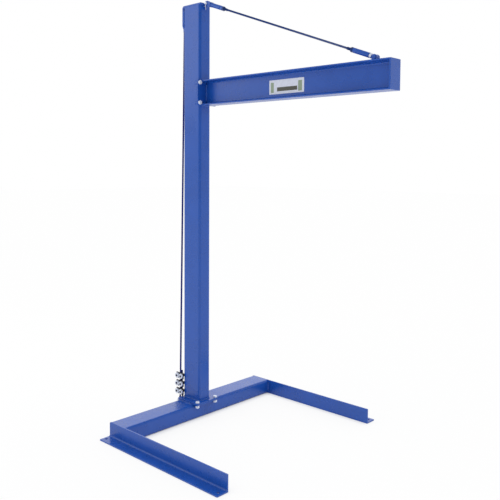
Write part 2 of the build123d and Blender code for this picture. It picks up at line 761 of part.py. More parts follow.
with BuildPart() as thimbles:
    for y, z in anchor_places:
        thimble = grooved_wheel(
            (foot_x, y, z),
            LOOP_RADIUS,
            LOOP_RADIUS + THIMBLE_RIM,
            anchor_hole,
            ANCHOR_HUB_DIA / 2,
            ANCHOR_STANDOFF,
        )
        add(thimble)
save(thimbles.part, "thimbles")

tube_faces = [Plane((-CROSS_DEPTH / 2, y, z), x_dir=(0, 1, 0), z_dir=(-1, 0, 0)) for y, z in anchor_places]
thimble_faces = [plane.offset(ANCHOR_STANDOFF + 2 * spool_half) for plane in tube_faces]
anchor_nut_faces = [plane.offset(ANCHOR_WASHER_WALL) for plane in thimble_faces]
anchor_reach = ANCHOR_STANDOFF + 2 * spool_half + ANCHOR_WASHER_WALL + ANCHOR_NUT_HEIGHT + BOLT_TAIL

with BuildPart() as anchor_studs:
    with BuildSketch(*tube_faces):
        Circle(ANCHOR_DIA / 2)
    extrude(amount=anchor_reach)
save(anchor_studs.part, "anchor_studs")
save(rings(thimble_faces, ANCHOR_WASHER_DIA, 2 * anchor_hole, ANCHOR_WASHER_WALL), "anchor_washers")
save(hex_heads(anchor_nut_faces, ANCHOR_HEX, ANCHOR_NUT_HEIGHT, ANCHOR_DIA), "anchor_nuts")

# Rope clips: the bow holds the cut end, the saddle and nuts bear on the live part

clip_heights = [CLIP_FIRST + CLIP_PITCH * index for index in range(CLIP_COUNT)]
clip_places = [(side, height) for side in SIDES for height in clip_heights]
clip_rear = foot_x - half_span
clip_front = foot_x + half_span

with BuildPart() as clip_u_bolts:
    for side, height in clip_places:
        rear_bend = (clip_rear, side * bow_y, height)
        front_bend = (clip_front, side * bow_y, height)
        with BuildLine(mode=Mode.PRIVATE) as bow:
            Line((clip_rear, side * clip_end_y, height), rear_bend)
            ThreePointArc(rear_bend, (foot_x, side * (bow_y - half_span), height), front_bend)
            Line(front_bend, (clip_front, side * clip_end_y, height))
        with BuildSketch(Plane(bow.line @ 0, z_dir=bow.line % 0)):
            Circle(CLIP_WIRE / 2)
        sweep(path=bow.line)
save(clip_u_bolts.part, "clip_u_bolts")

with BuildPart() as clip_saddles:
    for side, height in clip_places:
        with BuildSketch(Plane.XY.offset(height - SADDLE_HEIGHT / 2)):
            with Locations((foot_x, side * (saddle_outer + saddle_inner) / 2)):
                RectangleRounded(SADDLE_LENGTH, saddle_outer - saddle_inner, SADDLE_CORNER)
            with Locations((foot_x, side * live_y)):
                Circle(ROPE_DIA / 2 + CLIP_PLAY, mode=Mode.SUBTRACT)
        extrude(amount=SADDLE_HEIGHT)
        with BuildSketch(Plane((foot_x, 0, height), x_dir=(1, 0, 0), z_dir=(0, side, 0))):
            with Locations((-half_span, 0), (half_span, 0)):
                Circle(CLIP_WIRE / 2 + CLIP_PLAY)
        extrude(amount=clip_end_y, mode=Mode.SUBTRACT)
save(clip_saddles.part, "clip_saddles")

clip_nut_planes = [
    Plane((x, side * saddle_outer, height), x_dir=(1, 0, 0), z_dir=(0, side, 0))
    for side, height in clip_places
    for x in (clip_rear, clip_front)
]
save(hex_heads(clip_nut_planes, CLIP_HEX, CLIP_NUT_HEIGHT, CLIP_WIRE), "clip_nuts")

print("tie start", tuple(tie_start), "tie end", tuple(tie_end), "length", round(tie_length, 2))
print("foot_x", round(foot_x, 2), "top_x", round(top_x, 2), "spool_z", spool_z)
print("dead, live, anchor y", round(dead_y, 2), round(live_y, 2), round(anchor_y, 2))
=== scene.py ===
"""Cantilever jib crane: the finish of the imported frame, with its rope, fasteners and weld beads."""

import json
import math
from typing import NamedTuple

import bpy
import numpy as np
from bpy.props import FloatProperty, FloatVectorProperty, IntProperty, PointerProperty
from mathutils import Euler, Matrix, Vector


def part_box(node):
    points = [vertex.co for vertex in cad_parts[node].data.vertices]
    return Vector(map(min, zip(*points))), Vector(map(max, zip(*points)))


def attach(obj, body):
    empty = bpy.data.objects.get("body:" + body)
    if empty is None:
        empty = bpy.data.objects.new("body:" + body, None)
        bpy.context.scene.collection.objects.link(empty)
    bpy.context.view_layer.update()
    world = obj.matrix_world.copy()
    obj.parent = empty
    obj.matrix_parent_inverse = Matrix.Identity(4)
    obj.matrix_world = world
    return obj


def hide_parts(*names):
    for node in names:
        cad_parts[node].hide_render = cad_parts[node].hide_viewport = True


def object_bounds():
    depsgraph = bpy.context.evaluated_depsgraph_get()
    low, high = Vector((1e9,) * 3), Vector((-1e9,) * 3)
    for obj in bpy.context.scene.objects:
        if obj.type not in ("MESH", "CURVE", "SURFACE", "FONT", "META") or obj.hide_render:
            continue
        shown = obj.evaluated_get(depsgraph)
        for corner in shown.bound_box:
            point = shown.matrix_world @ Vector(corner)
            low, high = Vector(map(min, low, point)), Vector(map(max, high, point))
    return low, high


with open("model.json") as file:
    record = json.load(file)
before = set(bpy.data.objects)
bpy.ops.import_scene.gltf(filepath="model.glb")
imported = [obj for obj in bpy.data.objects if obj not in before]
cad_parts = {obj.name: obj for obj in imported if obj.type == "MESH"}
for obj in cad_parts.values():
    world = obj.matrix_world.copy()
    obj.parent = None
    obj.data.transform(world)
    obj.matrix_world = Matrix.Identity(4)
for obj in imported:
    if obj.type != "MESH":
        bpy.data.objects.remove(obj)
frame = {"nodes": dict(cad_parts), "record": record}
NODES = frame["nodes"]
SLOTS = {part["node"]: part["material_slot"] for part in frame["record"]["subparts"]}
JOINTS = {joint["name"]: joint for joint in frame["record"]["behaviour"]["joints"]}
CAD_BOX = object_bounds()

bl_info = {
    "name": "Cantilever jib crane",
    "version": (1, 0, 0),
    "blender": (4, 5, 0),
    "location": "3D View > Sidebar > Crane",
    "description": "Dresses the crane's frame with paint, wire rope, threaded fasteners and weld beads",
    "category": "Object",
}

MM = 0.001
SIDES = (-1, 1)
X, Y, Z = np.eye(3)


# Sizes and colours that a user would change


def linear(code):
    """The linear RGB of an sRGB hex colour."""
    values = [int(code[place : place + 2], 16) / 255 for place in (1, 3, 5)]
    return tuple(v / 12.92 if v <= 0.04045 else ((v + 0.055) / 1.055) ** 2.4 for v in values)


def colour_property(name, description, code):
    return FloatVectorProperty(
        name=name, description=description, default=linear(code), size=3, min=0, max=1, subtype="COLOR"
    )


def length_property(name, description, millimetres):
    return FloatProperty(
        name=name, description=description, default=millimetres * MM, min=0, unit="LENGTH"
    )


class CraneFinish(bpy.types.PropertyGroup):
    """Colours of the crane's finishes."""

    enamel: colour_property("Enamel", "Blue of the sprayed enamel", "#1751AF")
    zinc: colour_property("Zinc", "Bright zinc plating", "#EAF1FF")
    iron: colour_property("Iron", "Dark forged iron of the rope clips", "#1C1F2B")
    rope: colour_property("Rope", "Dark dressed wire of the rope", "#1B2A7C")
    panel: colour_property("Panel", "Pale ground of the web's panel", "#DDE2F0")
    band: colour_property("Band", "Dark band on the panel", "#4A4A3E")
    bar: colour_property("Bar", "Bars at the panel's two ends", "#8FA088")


class CraneRope(bpy.types.PropertyGroup):
    """Sizes of the wire rope stay."""

    diameter: length_property("Diameter", "Across the rope's strands", 9.5)
    lay: length_property("Lay", "Length in which a strand goes once round", 62.0)
    step: length_property("Step", "Distance between the mesh's rings", 3.2)
    strands: IntProperty(name="Strands", description="Strands round the core", default=6, min=3)


class CraneWelds(bpy.types.PropertyGroup):
    """Sizes of the weld beads."""

    leg: length_property("Leg", "Width of a bead on each of its two plates", 5.0)
    flare: length_property("Flare", "Width of a bead in a tube's rounded corner", 7.5)
    ripple: length_property("Ripple", "Distance between a bead's ripples", 4.0)


class CraneStudio(bpy.types.PropertyGroup):
    """Camera, floor and light."""

    camera_place: FloatVectorProperty(
        name="Camera place",
        description="Where the camera stands",
        default=(2.6344, -2.3999, 1.3282),
        size=3,
        subtype="TRANSLATION",
        unit="LENGTH",
    )
    camera_turn: FloatProperty(
        name="Camera turn",
        description="Turn about the upright axis from looking along +Y",
        default=math.radians(43.142),
        subtype="ANGLE",
    )
    camera_tilt: FloatProperty(
        name="Camera tilt", description="Tilt below level", default=math.radians(3.424), subtype="ANGLE"
    )
    camera_roll: FloatProperty(
        name="Camera roll",
        description="Turn about the line of sight",
        default=math.radians(0.338),
        subtype="ANGLE",
    )
    focal_share: FloatProperty(
        name="Focal share",
        description="Focal length as a share of the picture's width",
        default=1.3459,
    )
    shift: FloatProperty(name="Shift", description="Upright shift of the lens", default=-0.0873)
    floor_size: length_property("Floor size", "Side of the square floor", 60000.0)
    lamp_place: FloatVectorProperty(
        name="Lamp place",
        description="Middle of the soft box that stands to the column's left",
        default=(-2.3, -2.0, 2.8),
        size=3,
        subtype="TRANSLATION",
        unit="LENGTH",
    )
    lamp_size: length_property("Lamp size", "Side of the square soft box", 1800.0)
    lamp_power: FloatProperty(
        name="Lamp power", description="Power of the soft box", default=10.0, min=0, unit="POWER"
    )


# Meshes worked out as grids, in millimetres until they become a piece


def grid_faces(rows, columns, wrap_rows, wrap_columns):
    """Quads between neighbouring points of a rows by columns grid, going round where a side wraps."""
    row, column = np.meshgrid(
        np.arange(rows if wrap_rows else rows - 1),
        np.arange(columns if wrap_columns else columns - 1),
        indexing="ij",
    )
    next_row = (row + 1) % rows
    next_column = (column + 1) % columns
    corners = (row * columns + column, row * columns + next_column)
    corners += (next_row * columns + next_column, next_row * columns + column)
    return np.stack(corners, -1).reshape(-1, 4)


def tube_shell(grid, closed_path=False):
    """Points and faces of a grid whose columns go round a profile and whose rows follow a path.
    An open path gets a flat cap on its first and last row."""
    rows, columns = grid.shape[:2]
    faces = grid_faces(rows, columns, closed_path, True).tolist()
    if not closed_path:
        faces.append(list(range(columns))[::-1])
        faces.append(list(range((rows - 1) * columns, rows * columns)))
    return grid.reshape(-1, 3), faces


def make_piece(name, shells, slot, sharp):
    """One object of the frame body from closed shells, with edges over the sharp angle left crisp."""
    points, faces, start = [], [], 0
    for shell_points, shell_faces in shells:
        points.append(shell_points)
        faces.extend([[start + corner for corner in face] for face in shell_faces])
        start += len(shell_points)
    mesh = bpy.data.meshes.new(name)
    mesh.from_pydata((np.concatenate(points) * MM).tolist(), [], faces)
    mesh.polygons.foreach_set("use_smooth", np.ones(len(mesh.polygons), bool))
    mesh.set_sharp_from_angle(angle=math.radians(sharp))
    mesh.materials.append(bpy.data.materials[FINISHES[slot]])
    mesh.validate()
    piece = bpy.data.objects.new(name, mesh)
    bpy.context.scene.collection.objects.link(piece)
    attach(piece, "frame")
    return piece


def dress_node(node, shells, sharp=50):
    """A piece that shows in a node's place, in the finish of the node's slot."""
    piece = make_piece(f"{node}_detail", shells, SLOTS[node], sharp)
    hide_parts(node)
    return piece


def span(node):
    """A node's lowest and highest corners in millimetres."""
    return np.array(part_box(node)) / MM


def stand(place, way, flat):
    """A piece's own axes: its origin, then the directions of its flat, its side and its length."""
    return np.asarray(place, float), np.stack([flat, np.cross(way, flat), way])


def put(grid, axes):
    """The grid moved from a piece's own axes to its place."""
    place, turn = axes
    return place + grid @ turn


def at_distances(line, along):
    """Points of a line at distances from its start."""
    run = np.concatenate([[0.0], np.cumsum(np.linalg.norm(np.diff(line, axis=0), axis=1))])
    keep = np.concatenate([[True], np.diff(run) > 1e-6])
    return np.stack([np.interp(along, run[keep], line[keep, axis]) for axis in range(3)], -1)


def even_steps(line, step):
    """A line's points an even distance apart, and each one's distance from the start."""
    length = np.linalg.norm(np.diff(line, axis=0), axis=1).sum()
    along = np.linspace(0, length, int(round(length / step)) + 1)
    return at_distances(line, along), along


def carried_round(line, radius, angle, reference):
    """A round profile, with a radius and an angle for each row and column, carried along a line.
    Its angles start from the reference direction, made square to the line."""
    tangent = np.gradient(line, axis=0)
    tangent /= np.linalg.norm(tangent, axis=1)[:, None]
    first = reference - tangent * (tangent @ reference)[:, None]
    first /= np.linalg.norm(first, axis=1)[:, None]
    second = np.cross(tangent, first)
    across = np.cos(angle)[..., None] * first[:, None] + np.sin(angle)[..., None] * second[:, None]
    return line[:, None] + across * radius[..., None]


# Turned and threaded pieces

AROUND = 48
ANGLES = np.linspace(0, 2 * math.pi, AROUND, endpoint=False)
ROWS_PER_PITCH = 12
THREAD_DEPTH = 0.5
TIP_EASE = 1.0
HEX_RIM = 0.95
HEX_BEVEL = math.tan(math.radians(30))
RIM_EASE = 0.5


class HexSize(NamedTuple):
    """A hexagon fastener: across its flats, the nut's height, thread, pitch and a bolt head's height."""

    across: float
    nut: float
    thread: float
    pitch: float
    head: float = 0.0


HALF_INCH = HexSize(across=19.0, nut=11.1, thread=12.7, pitch=1.954, head=8.1)
ANCHOR = HexSize(across=23.8, nut=13.9, thread=15.9, pitch=2.309)
CLIP = HexSize(across=25.4, nut=9.5, thread=11.1, pitch=1.814)


def corner_radius(size):
    """Half the distance across a hexagon's corners."""
    return size.across / math.sqrt(3)


def lathe(rows):
    """A grid round the third axis: each row has a radius and a height, plain or one a column."""
    radius = np.stack([np.broadcast_to(reach, AROUND) for reach, height in rows])
    height = np.stack([np.broadcast_to(height, AROUND) for reach, height in rows])
    return np.stack([radius * np.cos(ANGLES), radius * np.sin(ANGLES), height], -1)


def hex_rows(size, height, bevel_foot):
    """A hexagon's sides: half its width over the cosine of the angle from the nearest flat, cut by
    a cone of 30 degrees at the top and, on a nut, at the foot."""
    half = size.across / 2
    sixth = math.pi / 3
    reach = half / np.cos((ANGLES + sixth / 2) % sixth - sixth / 2)
    rim = half * HEX_RIM
    drop = (reach - rim) * HEX_BEVEL
    foot = [(rim - RIM_EASE, 0), (rim, 0), (reach, drop)] if bevel_foot else [(rim, 0), (reach, 0)]
    return foot + [(reach, height - drop), (rim, height), (rim - RIM_EASE, height)]


def screw_rows(size, start, end):
    """A rolled thread: the radius swings from crest to root once in each pitch of height, the swing
    climbs one pitch in a turn, and it fades out within a pitch of both ends."""
    heights = np.linspace(start, end, int((end - start) / size.pitch * ROWS_PER_PITCH) + 1)
    swing = 0.5 - 0.5 * np.cos(2 * math.pi * heights[:, None] / size.pitch - ANGLES)
    fade = np.clip(np.minimum(heights - start, end - heights) / size.pitch, 0, 1)
    return list(zip(size.thread / 2 - THREAD_DEPTH * size.pitch * swing * fade[:, None], heights))


def nut_shell(size, axes):
    """A nut: a hexagon bevelled at both ends round a bore of the thread's root, countersunk."""
    bore = size.thread / 2 - THREAD_DEPTH * size.pitch / 2
    mouth = bore + TIP_EASE
    hole = [(mouth, size.nut), (bore, size.nut - TIP_EASE), (bore, TIP_EASE), (mouth, 0)]
    return tube_shell(put(lathe(hex_rows(size, size.nut, True) + hole), axes), closed_path=True)


def bolt_shell(size, axes, grip, threaded):
    """A hexagon bolt: its tip below, its thread, its shank and its bevelled head on top."""
    radius = size.thread / 2
    tip = [(radius - TIP_EASE, -grip)]
    thread = screw_rows(size, TIP_EASE - grip, threaded - grip)
    rows = tip + thread + [(radius, 0)] + hex_rows(size, size.head, False)
    return tube_shell(put(lathe(rows), axes))


def stud_shell(size, axes, length, plain):
    """A stud: a plain foot, then a thread up to its eased tip."""
    radius = size.thread / 2
    rows = [(radius, 0)] + screw_rows(size, plain, length - TIP_EASE) + [(radius - TIP_EASE, length)]
    return tube_shell(put(lathe(rows), axes))


class CRANE_OT_bolts(bpy.types.Operator):
    """Cuts the bolts and nuts of the base and boom joints"""

    bl_idname = "crane.bolts"
    bl_label = "Bolts and nuts"

    def execute(self, context):
        corner = corner_radius(HALF_INCH)
        low, high = span("base_bolts")
        face = span("column_base_plate")[1][2]
        grip = face - low[2]
        threaded = grip - 2 * (face - span("column_base_plate")[0][2])
        x = (low[0] + high[0]) / 2
        places = [(x, side * (high[1] - corner)) for side in SIDES]
        bolts = [bolt_shell(HALF_INCH, stand((x, y, face), Z, X), grip, threaded) for x, y in places]
        dress_node("base_bolts", bolts)
        seat = span("base_nuts")[1][2]
        dress_node("base_nuts", [nut_shell(HALF_INCH, stand((x, y, seat), -Z, X)) for x, y in places])

        # The boom's bolts are as long as the base's
        low, high = span("boom_bolts")
        face = span("boom_end_plate")[1][0]
        seat = span("boom_nuts")[1][0]
        places = [
            (side * (high[1] - HALF_INCH.across / 2), z)
            for side in SIDES
            for z in (low[2] + corner, high[2] - corner)
        ]
        bolts = [bolt_shell(HALF_INCH, stand((face, y, z), X, Y), grip, threaded) for y, z in places]
        dress_node("boom_bolts", bolts)
        dress_node("boom_nuts", [nut_shell(HALF_INCH, stand((seat, y, z), -X, Y)) for y, z in places])
        return {"FINISHED"}


class CRANE_OT_tie(bpy.types.Operator):
    """Cuts the tie's threaded rod and its nuts"""

    bl_idname = "crane.tie"
    bl_label = "Tie rod and nuts"

    in_sleeve = 28.0
    thread_shown = 50.0
    rod_radius = 4.75

    def execute(self, context):
        joint = JOINTS["upper_sleeve_turn"]
        start = np.array(joint["pos_m"]) / MM
        way = np.array(joint["axis"])
        radius = HALF_INCH.thread / 2
        lean = radius * abs(way[2])

        def at(x):
            """A piece's own axes on the tie's line, where the line passes x."""
            return stand(start + way * (x - start[0]) / way[0], way, Y)

        low, high = span("tie_rod")
        length = (high[0] - low[0] - 2 * lean) / way[0]
        threaded = self.in_sleeve + self.thread_shown
        one_end = [(radius, 0)] + screw_rows(HALF_INCH, self.in_sleeve, threaded)
        one_end.append((self.rod_radius, threaded + radius - self.rod_radius))
        other_end = [(reach, length - height) for reach, height in reversed(one_end)]
        rod = tube_shell(put(lathe(one_end + other_end), at(low[0] + lean)))
        dress_node("tie_rod", [rod])

        for node in ("upper_jam_nut", "lower_jam_nut", "lower_lock_nut"):
            middle = span(node)[:, 0].mean()
            axes = at(middle - way[0] * HALF_INCH.nut / 2)
            dress_node(node, [nut_shell(HALF_INCH, axes)])
        return {"FINISHED"}


# Rope stay

# The rope's route in millimetres, as the frame has it, with a point added on each long straight
# stretch near the spool and near the clips.
LEFT_ROUTE = (
    (-85.4, -28.75, 222.0),
    (-85.4, -28.75, 130.5),
    (-85.4, -28.75, 88.0),
    (-85.4, -13.3, 48.4),
    (-85.4, -25.0, 34.0),
    (-85.4, -43.0, 34.0),
    (-85.4, -54.7, 48.4),
    (-85.4, -39.25, 88.0),
    (-85.4, -39.25, 130.5),
    (-85.4, -39.25, 232.0),
    (-85.08, -37.29, 376.0),
    (-81.53, -15.28, 1989.3),
    (-81.4, -14.5, 2046.23),
    (-81.4, -5.94, 2054.5),
)
# How far beside the middle the rope's short end and its long strand pass through the clips
DEAD_Y = -LEFT_ROUTE[0][1]
LIVE_Y = -LEFT_ROUTE[9][1]


def route_line(points):
    """Points along the NURBS line that the route's points control."""
    curve = bpy.data.curves.new("stay_line", "CURVE")
    curve.dimensions = "3D"
    spline = curve.splines.new("NURBS")
    spline.points.add(len(points) - 1)
    homogeneous = np.column_stack([points, np.ones(len(points))])
    spline.points.foreach_set("co", homogeneous.astype(np.float32).ravel())
    spline.order_u = 3
    spline.use_endpoint_u = True
    spline.resolution_u = 24
    holder = bpy.data.objects.new("stay_line", curve)
    mesh = bpy.data.meshes.new_from_object(holder)
    line = np.zeros(len(mesh.vertices) * 3, np.float32)
    mesh.vertices.foreach_get("co", line)
    bpy.data.objects.remove(holder)
    bpy.data.curves.remove(curve)
    bpy.data.meshes.remove(mesh)
    return line.reshape(-1, 3).astype(float)


def strand_outline(diameter, strands, columns):
    """Angles round a rope and its reach at each: the outline of touching round strands."""
    half_lobe = math.pi / strands
    centre = diameter / 2 / (1 + math.sin(half_lobe))
    strand = centre * math.sin(half_lobe)
    angle = np.linspace(0, 2 * math.pi, strands * columns, endpoint=False)
    lobe = (angle + half_lobe) % (2 * half_lobe) - half_lobe
    reach = centre * np.cos(lobe) + np.sqrt(np.maximum(strand**2 - (centre * np.sin(lobe)) ** 2, 0))
    return angle, reach


class CRANE_OT_rope(bpy.types.Operator):
    """Winds the wire rope stay along its route"""

    bl_idname = "crane.rope"
    bl_label = "Wire rope stay"

    strand_columns = 7
    wires_across = 4

    def execute(self, context):
        sizes = context.scene.crane_rope
        left = np.array(LEFT_ROUTE)
        right = left[::-1] * (1, -1, 1)
        line, along = even_steps(route_line(np.concatenate([left, right])), sizes.step / MM)
        angle, reach = strand_outline(sizes.diameter / MM, sizes.strands, self.strand_columns)
        turned = angle[None, :] + 2 * math.pi * along[:, None] * MM / sizes.lay
        grid = carried_round(line, np.broadcast_to(reach, turned.shape), turned, X)
        piece = dress_node("stay_rope", [tube_shell(grid)], sharp=180)
        # The wires' map runs round the rope with the turned strands
        uv = piece.data.uv_layers.new(name="wires")
        corner = np.zeros(len(piece.data.loops), np.int32)
        piece.data.loops.foreach_get("vertex_index", corner)
        around = turned.ravel()[corner] * self.wires_across
        uv.data.foreach_set("uv", np.column_stack([around, around * 0]).astype(np.float32).ravel())
        return {"FINISHED"}


# Half a wheel's width, the radius of its groove and the points round the groove
WHEEL_HALF = 6.4
ROPE_GROOVE = 5.0
GROOVE_STEPS = 17


def grooved_shell(axes, rope_centre, flange, bore, hub_radius, hub):
    """A wheel with a round groove: the groove's radius falls by a half circle below the rope's
    centre line, between two flanges, with a hub on one side."""
    half = WHEEL_HALF
    deep = ROPE_GROOVE
    angle = np.linspace(0, math.pi, GROOVE_STEPS)
    groove = list(zip(rope_centre - deep * np.sin(angle), -deep * np.cos(angle)))
    ease = (half - deep) / 3
    rows = [(flange - ease, -half), (flange, ease - half), (flange, -deep - ease)]
    rows += [(flange - ease, -deep)] + groove + [(flange - ease, deep)]
    rows += [(flange, deep + ease), (flange, half - ease), (flange - ease, half)]
    rows += [(hub_radius, half), (hub_radius, half + hub), (bore, half + hub), (bore, -half)]
    return tube_shell(put(lathe(rows), axes), closed_path=True)


class CRANE_OT_sheaves(bpy.types.Operator):
    """Turns the rope's spool and thimbles, their studs and nuts"""

    bl_idname = "crane.sheaves"
    bl_label = "Spool and thimbles"

    # Radii of the rope's centre line on each wheel, of the wheels' hubs and of their bores
    spool_rope = 13.4
    spool_hub = 13.0
    thimble_rope = 17.1
    thimble_hub = 12.0
    bolt_bore = 6.75
    anchor_bore = 8.25

    def execute(self, context):
        width = 2 * WHEEL_HALF
        low, high = span("rope_spool")
        flange = (high[2] - low[2]) / 2
        z = (low[2] + high[2]) / 2
        hub = high[0] - low[0] - width
        axes = stand((low[0] + WHEEL_HALF, 0, z), X, Y)
        radii = (self.spool_rope, flange, self.bolt_bore, self.spool_hub)
        dress_node("rope_spool", [grooved_shell(axes, *radii, hub)])
        tail = span("top_strap")[0][0]
        length = tail - span("spool_stud")[0][0]
        dress_node("spool_stud", [stud_shell(HALF_INCH, stand((tail, 0, z), -X, Y), length, width)])
        seat = span("spool_nut")[1][0]
        dress_node("spool_nut", [nut_shell(HALF_INCH, stand((seat, 0, z), -X, Y))])

        low, high = span("thimbles")
        flange = (high[2] - low[2]) / 2
        z = (low[2] + high[2]) / 2
        hub = high[0] - low[0] - width
        seat = span("anchor_nuts")[1][0]
        length = high[0] - span("anchor_studs")[0][0]
        thimbles, studs, nuts = [], [], []
        for side in SIDES:
            y = side * (DEAD_Y + LIVE_Y) / 2
            axes = stand((low[0] + WHEEL_HALF, y, z), X, Y)
            radii = (self.thimble_rope, flange, self.anchor_bore, self.thimble_hub)
            thimbles.append(grooved_shell(axes, *radii, hub))
            studs.append(stud_shell(ANCHOR, stand((high[0], y, z), -X, Y), length, hub + width))
            nuts.append(nut_shell(ANCHOR, stand((seat, y, z), -X, Y)))
        dress_node("thimbles", thimbles)
        dress_node("anchor_studs", studs)
        dress_node("anchor_nuts", nuts)
        return {"FINISHED"}


class CRANE_OT_clips(bpy.types.Operator):
    """Bends the rope clips' U-bolts and shapes their saddles and nuts"""

    bl_idname = "crane.clips"
    bl_label = "Rope clips"

    # Clips on each side, the rope's play in them and the length of a U-bolt's thread
    count = 3
    play = 0.2
    tail = 6.0
    wire_columns = 24
    bend_steps = 33
    plain_steps = 60
    saddle_ease = 1.2
    saddle_corner = 3.0
    corner_steps = 6
    groove_steps = 15

    def execute(self, context):
        rope = context.scene.crane_rope.diameter / MM / 2 + self.play
        wire = CLIP.thread / 2
        corner = corner_radius(CLIP)
        low, high = span("clip_nuts")
        middle_x = (low[0] + high[0]) / 2
        half_span = (high[0] - low[0] - CLIP.across) / 2
        heights = np.linspace(low[2] + corner, high[2] - corner, self.count)
        saddle_low, saddle_high = span("clip_saddles")
        half = (saddle_high[0] - saddle_low[0]) / 2
        depth = saddle_high[2] - saddle_low[2] - (heights[-1] - heights[0])
        seat = saddle_high[1]
        end = span("clip_u_bolts")[1][1]
        bow = DEAD_Y + half_span - wire - rope
        u_bolts, saddles, nuts = [], [], []
        for side in SIDES:
            for z in heights:
                place = np.array([middle_x, 0, z])
                u_bolts.append(self.u_bolt(place, side, bow, end, half_span, wire))
                saddles.append(self.saddle(place, side, seat, rope, half, depth))
                for x in (-half_span, half_span):
                    axes = stand((middle_x + x, side * seat, z), side * Y, X)
                    nuts.append(nut_shell(CLIP, axes))
        dress_node("clip_u_bolts", u_bolts)
        dress_node("clip_saddles", saddles)
        dress_node("clip_nuts", nuts)
        return {"FINISHED"}

    def u_bolt(self, place, side, bow, end, half_span, wire):
        """A round wire along two legs and a half circle between them, threaded near both ends."""
        turn = np.linspace(math.pi, 2 * math.pi, self.bend_steps)
        bend = np.column_stack([half_span * np.cos(turn), bow + half_span * np.sin(turn), 0 * turn])
        legs = np.array([[-half_span, end, 0], [half_span, end, 0]])
        line = np.concatenate([legs[:1], bend, legs[1:]]) * (1, side, 1) + place
        length = np.linalg.norm(np.diff(line, axis=0), axis=1).sum()
        fine = np.linspace(0, self.tail, int(self.tail / CLIP.pitch * ROWS_PER_PITCH) + 1)
        between = np.linspace(self.tail, length - self.tail, self.plain_steps)[1:-1]
        along = np.concatenate([fine, between, length - fine[::-1]])
        angle = np.linspace(0, 2 * math.pi, self.wire_columns, endpoint=False)
        swing = 0.5 - 0.5 * np.cos(2 * math.pi * along[:, None] / CLIP.pitch - angle)
        from_end = np.minimum(along, length - along)
        fade = np.clip(np.minimum(from_end, self.tail - from_end) / CLIP.pitch, 0, 1)
        ease = np.clip(TIP_EASE - from_end, 0, None)
        radius = wire - THREAD_DEPTH * CLIP.pitch * swing * fade[:, None] - ease[:, None]
        grid = carried_round(at_distances(line, along), radius, np.broadcast_to(angle, radius.shape), Z)
        return tube_shell(grid)

    def saddle(self, place, side, seat, rope, half, depth):
        """A bar with a half-round groove for the rope: its outline carried up the rope, drawn in at
        both ends by the eased edge."""
        foot = LIVE_Y + self.play
        quarter = np.linspace(0, math.pi / 2, self.corner_steps)
        arc = self.saddle_corner * np.column_stack([np.cos(quarter), np.sin(quarter)])
        inset = np.array([half - self.saddle_corner, 0])
        far = np.array([0, seat - self.saddle_corner])
        near = np.array([0, foot + self.saddle_corner])
        mouth = math.asin(self.play / rope)
        around = np.linspace(math.pi - mouth, mouth, self.groove_steps)
        groove = np.column_stack([rope * np.cos(around), LIVE_Y + rope * np.sin(around)])
        right_foot = near + inset + arc[::-1] * (1, -1)
        right_head = far + inset + arc
        left_head = right_head[::-1] * (-1, 1)
        left_foot = right_foot[::-1] * (-1, 1)
        outline = np.concatenate([groove, right_foot, right_head, left_head, left_foot])
        ease = self.saddle_ease
        limit = np.array([half - ease, seat - ease])
        drawn_in = np.clip(outline, (-limit[0], foot + ease), limit)
        levels = (-depth / 2, ease - depth / 2, depth / 2 - ease, depth / 2)
        rows = [
            np.column_stack([shape, np.full(len(shape), level)])
            for shape, level in zip((drawn_in, outline, outline, drawn_in), levels)
        ]
        grid = np.stack(rows) * (1, side, 1) + place
        return tube_shell(grid if side > 0 else grid[:, ::-1])


# Weld beads, with heights in shares of a bead's leg and the lag in shares of a ripple

ROWS_PER_RIPPLE = 6
BEAD_COLUMNS = 7
BEAD_SUNK = 0.12
BEAD_SWELL = 0.08
BEAD_END = 0.4
RIPPLE_RISE = 0.12
RIPPLE_LAG = 0.35


def bead_shell(line, first, second, leg, ripple):
    """A fillet weld in the corner between two directions. Its section is a triangle with a swelling
    face; the face rises once in each ripple length, later at its edges than at its middle, so that a
    ripple is a crescent. The section shrinks towards both ends. The first direction may be a function
    of the line's points."""
    line, along = even_steps(np.asarray(line, float), ripple / ROWS_PER_RIPPLE)
    first = np.broadcast_to(first, line.shape) if np.ndim(first) == 1 else first(line)
    across = np.linspace(0, 1, BEAD_COLUMNS)
    lag = RIPPLE_LAG * (2 * across - 1) ** 2
    wave = 0.5 + 0.5 * np.cos(2 * math.pi * (along[:, None] / ripple + lag))
    swell = (BEAD_SWELL + RIPPLE_RISE * wave) * np.sin(math.pi * across)
    under = np.full((len(line), 1), -BEAD_SUNK)
    u = np.concatenate([under, under * 0 + 1, 1 - across + swell, under], axis=1)
    v = np.concatenate([under, under, across + swell, under * 0 + 1], axis=1)
    ends = np.clip(np.minimum(along, along[-1] - along) / leg, 0, 1)
    size = (leg * (BEAD_END + (1 - BEAD_END) * np.sin(ends * math.pi / 2)))[:, None, None]
    grid = line[:, None] + size * (u[..., None] * first[:, None] + v[..., None] * second)
    inward = np.dot(np.cross(first[0], second), line[1] - line[0]) < 0
    return tube_shell(grid[:, ::-1] if inward else grid)


